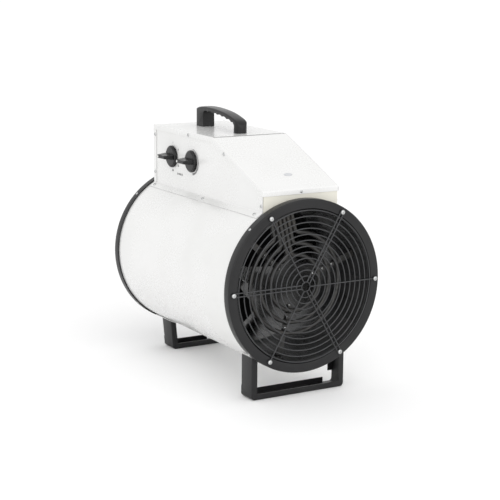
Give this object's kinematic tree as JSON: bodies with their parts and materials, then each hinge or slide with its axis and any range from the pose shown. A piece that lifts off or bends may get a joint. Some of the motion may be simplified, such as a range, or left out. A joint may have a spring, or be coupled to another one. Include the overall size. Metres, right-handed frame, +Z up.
{
  "type": "electric fan heater",
  "caption": "Round-barrel electric fan heater: tubular elements and axial fan between wire guards, control box with rotary knobs and carrying handle on top, two U-shaped channel legs.",
  "frame": {"origin": "on the floor, under the middle of the barrel", "axes": "+Z up; the barrel's axis runs along Y with the outlet facing -Y; the knob panel faces -X"},
  "size_m": [0.34, 0.5062, 0.5298],
  "materials": {
    "white_powder_coat": "satin white powder coat on rolled and folded sheet",
    "cream_powder_coat": "satin off-white powder coat",
    "black_powder_coat": "fine-textured satin black powder coat",
    "dark_liner": "glossy dark heat-resistant coat",
    "zinc_plated_steel": "bright zinc-plated steel",
    "heater_tube_steel": "dark oxidised heat-resistant steel",
    "cast_aluminium": "cast aluminium with a thin dark grey coat",
    "black_plastic": "black moulded plastic with a soft sheen",
    "grey_plastic": "grey moulded plastic",
    "copper": "copper capillary and bulb"
  },
  "bodies": {
    "heater": {"barrel": "white_powder_coat", "front_saddle": "white_powder_coat", "rear_saddle": "white_powder_coat", "box_cover": "white_powder_coat", "box_left_panel": "white_powder_coat", "box_right_panel": "white_powder_coat", "box_rear_panel": "white_powder_coat", "front_ring": "black_powder_coat", "rear_ring": "black_powder_coat", "front_guard": "black_powder_coat", "rear_guard": "black_powder_coat", "front_leg": "black_powder_coat", "rear_leg": "black_powder_coat", "motor_body": "black_powder_coat", "motor_end_cap": "black_powder_coat", "front_guard_screw_1": "zinc_plated_steel", "front_guard_screw_2": "zinc_plated_steel", "front_guard_screw_3": "zinc_plated_steel", "front_guard_screw_4": "zinc_plated_steel", "front_guard_screw_5": "zinc_plated_steel", "front_guard_screw_6": "zinc_plated_steel", "rear_guard_screw_1": "zinc_plated_steel", "rear_guard_screw_2": "zinc_plated_steel", "rear_guard_screw_3": "zinc_plated_steel", "rear_guard_screw_4": "zinc_plated_steel", "rear_guard_screw_5": "zinc_plated_steel", "rear_guard_screw_6": "zinc_plated_steel", "element_strap_1": "heater_tube_steel", "element_strap_2": "heater_tube_steel", "element_strap_3": "heater_tube_steel", "motor_bracket": "zinc_plated_steel", "component_plate": "zinc_plated_steel", "oval_badge": "zinc_plated_steel", "box_front_panel": "cream_powder_coat", "inner_liner": "dark_liner", "heating_element_outer": "heater_tube_steel", "heating_element_middle": "heater_tube_steel", "heating_element_inner": "heater_tube_steel", "handle": "black_plastic", "motor_lead": "black_plastic", "overheat_cutout": "black_plastic", "cable_gland": "black_plastic", "selector_switch": "grey_plastic", "thermostat_body": "grey_plastic", "contactor": "grey_plastic", "terminal_block": "grey_plastic", "motor_capacitor": "grey_plastic", "thermostat_bulb": "copper"},
    "fan": {"fan_impeller": "cast_aluminium", "motor_shaft": "zinc_plated_steel"},
    "selector": {"selector_knob": "black_plastic", "selector_spindle": "zinc_plated_steel"},
    "thermostat": {"thermostat_knob": "black_plastic", "thermostat_spindle": "zinc_plated_steel"}
  },
  "joints": [
    {"name": "fan_spin", "type": "hinge", "parent": "heater", "child": "fan", "pos_m": [0, 0.085, 0.2185], "axis": [0, 1, 0], "continuous": true},
    {"name": "selector_turn", "type": "hinge", "parent": "heater", "child": "selector", "pos_m": [-0.0857, 0.1395, 0.4285], "axis": [1, 0, 0], "range_deg": [0, 270]},
    {"name": "thermostat_turn", "type": "hinge", "parent": "heater", "child": "thermostat", "pos_m": [-0.0857, 0.0545, 0.4285], "axis": [1, 0, 0], "range_deg": [0, 270]}
  ]
}
